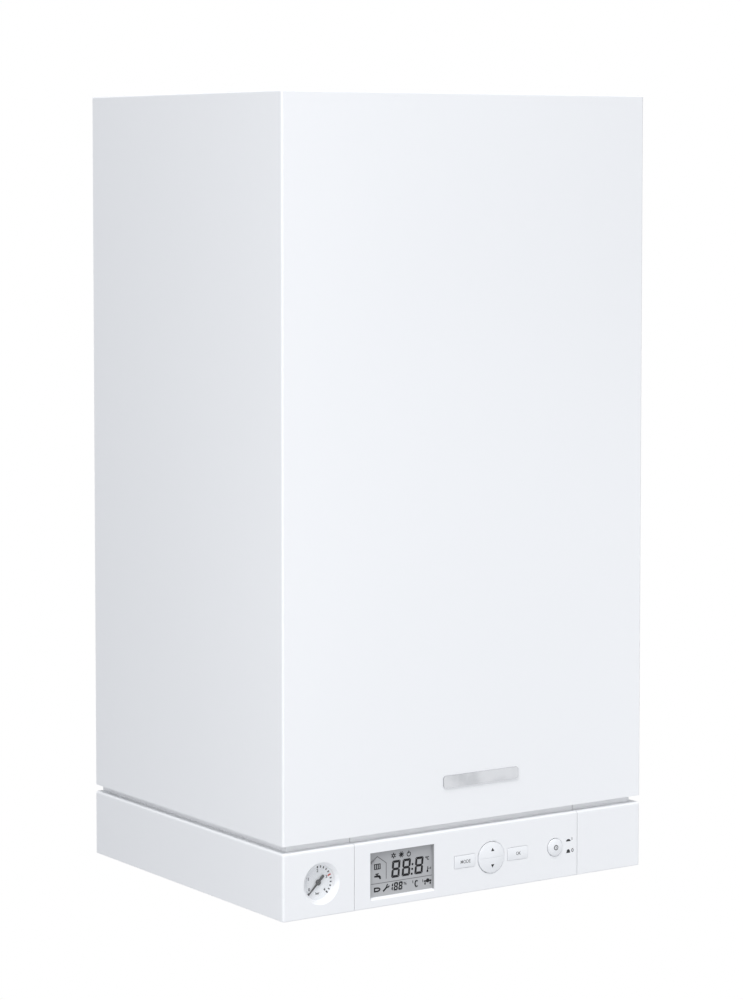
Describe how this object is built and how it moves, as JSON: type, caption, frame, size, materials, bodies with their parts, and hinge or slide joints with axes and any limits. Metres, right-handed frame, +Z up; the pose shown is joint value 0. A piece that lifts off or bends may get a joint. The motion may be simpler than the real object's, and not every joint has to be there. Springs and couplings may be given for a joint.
{
  "type": "wall-hung gas boiler",
  "caption": "White wall-hung room-sealed combi gas boiler: pull-off steel cover, swing-down control panel with display, keys, rocker and power button, pressure gauge, pipe stubs below.",
  "frame": {"origin": "on the wall plane, midway between the two hanging bolts", "axes": "+Z up, +X to the right as seen from the front, +Y into the wall; the front faces -Y"},
  "size_m": [0.4, 0.342, 0.725],
  "materials": {
    "white_enamel": "smooth semi-gloss white enamel on steel sheet",
    "white_moulding": "fine-grained white moulding",
    "key_grey": "satin near-white moulding",
    "badge_silver": "satin grey blank plate",
    "zinc_sheet": "zinc-coated sheet",
    "zinc_screw": "bright zinc",
    "stainless": "stainless steel",
    "brass": "machined and cast brass",
    "copper": "bright copper",
    "gas_yellow": "yellow lacquered steel pipe",
    "cast_alloy": "die-cast alloy",
    "vessel_paint": "red lacquered steel",
    "pump_paint": "dark grey lacquer",
    "black_plastic": "black moulding",
    "red_knob": "red moulding",
    "blue_knob": "blue moulding",
    "rubber": "black rubber",
    "fibre_board": "ceramic-fibre board",
    "ceramic": "glazed ceramic sleeve",
    "lcd_glass": "grey liquid-crystal face in a frame",
    "board_green": "green circuit board",
    "dial_white": "printed white dial",
    "needle_dark": "dark grey pointer",
    "clear": "clear cover"
  },
  "bodies": {
    "boiler": {"wall_bracket": "zinc_sheet", "wall_spacers": "rubber", "chassis_back": "zinc_sheet", "lower_frame": "zinc_sheet", "sheet_screws": "zinc_screw", "fascia_left": "white_moulding", "fascia_right": "white_moulding", "gauge_case": "white_moulding", "gauge_dial": "dial_white", "gauge_lens": "clear", "connection_bracket": "zinc_sheet", "pipe_fittings": "brass", "union_nuts": "brass", "cable_gland": "black_plastic", "air_box": "zinc_sheet", "air_box_top": "zinc_sheet", "flue_gasket": "rubber", "chamber_seal": "rubber", "chamber_lid": "zinc_sheet", "combustion_chamber": "zinc_sheet", "chamber_insulation": "fibre_board", "burner_rack": "stainless", "gas_manifold": "stainless", "electrodes": "ceramic", "exchanger_fins": "copper", "exchanger_tubes": "copper", "flue_hood": "zinc_sheet", "fan_housing": "zinc_sheet", "fan_motor": "cast_alloy", "air_pressure_switch": "black_plastic", "expansion_vessel": "vessel_paint", "flow_block": "brass", "return_block": "brass", "diverter_actuator": "black_plastic", "plate_exchanger": "stainless", "pump_motor": "pump_paint", "air_vent": "brass", "safety_valve": "brass", "gas_valve": "cast_alloy", "gas_valve_coils": "black_plastic", "gas_pipe": "gas_yellow", "copper_pipes": "copper"},
    "cover": {"front_cover": "white_enamel", "badge_plate": "badge_silver"},
    "panel": {"control_panel": "white_moulding", "control_box": "black_plastic", "hinge_pins": "zinc_screw", "lcd_module": "lcd_glass", "circuit_boards": "board_green", "power_switch": "black_plastic"},
    "mode_key": {"mode_button": "key_grey"},
    "ok_key": {"ok_button": "key_grey"},
    "rocker": {"rocker_button": "key_grey"},
    "power_key": {"power_button": "key_grey"},
    "needle": {"gauge_needle": "needle_dark"},
    "fan": {"fan_impeller": "stainless"},
    "pump": {"pump_rotor": "black_plastic"},
    "diverter": {"diverter_stem": "brass"},
    "safety_tap": {"safety_knob": "red_knob"},
    "filling_tap": {"filling_knob": "blue_knob"}
  },
  "joints": [
    {"name": "cover_pull", "type": "slide", "parent": "boiler", "child": "cover", "axis": [0, -1, 0], "range_m": [0, 0.345]},
    {"name": "panel_tilt", "type": "hinge", "parent": "boiler", "child": "panel", "pos_m": [0, -0.2445, -0.672], "axis": [1, 0, 0], "range_deg": [0, 85]},
    {"name": "mode_press", "type": "slide", "parent": "panel", "child": "mode_key", "axis": [0, 1, 0], "range_m": [0, 0.001], "stiffness_N_per_m": 600},
    {"name": "ok_press", "type": "slide", "parent": "panel", "child": "ok_key", "axis": [0, 1, 0], "range_m": [0, 0.001], "stiffness_N_per_m": 600},
    {"name": "rocker_tilt", "type": "hinge", "parent": "panel", "child": "rocker", "pos_m": [0.0256, -0.3355, -0.6556], "axis": [1, 0, 0], "range_deg": [-2, 2], "stiffness_Nm_per_rad": 0.4},
    {"name": "power_press", "type": "slide", "parent": "panel", "child": "power_key", "axis": [0, 1, 0], "range_m": [0, 0.0035], "stiffness_N_per_m": 600},
    {"name": "needle_sweep", "type": "hinge", "parent": "boiler", "child": "needle", "pos_m": [-0.1597, -0.3344, -0.6556], "axis": [0, 1, 0], "range_deg": [0, 270]},
    {"name": "fan_spin", "type": "hinge", "parent": "boiler", "child": "fan", "pos_m": [0.032, -0.1841, -0.0413], "axis": [0, 1, 0], "continuous": true},
    {"name": "pump_spin", "type": "hinge", "parent": "boiler", "child": "pump", "pos_m": [0.125, -0.146, -0.563], "axis": [0, 1, 0], "continuous": true},
    {"name": "diverter_travel", "type": "slide", "parent": "boiler", "child": "diverter", "axis": [0, 0, 1], "range_m": [0, 0.006]},
    {"name": "safety_turn", "type": "hinge", "parent": "boiler", "child": "safety_tap", "pos_m": [-0.13, -0.142, -0.607], "axis": [0, -1, 0], "range_deg": [0, 90]},
    {"name": "filling_turn", "type": "hinge", "parent": "boiler", "child": "filling_tap", "pos_m": [0.118, -0.096, -0.651], "axis": [0, 0, -1], "range_deg": [0, 90]}
  ]
}
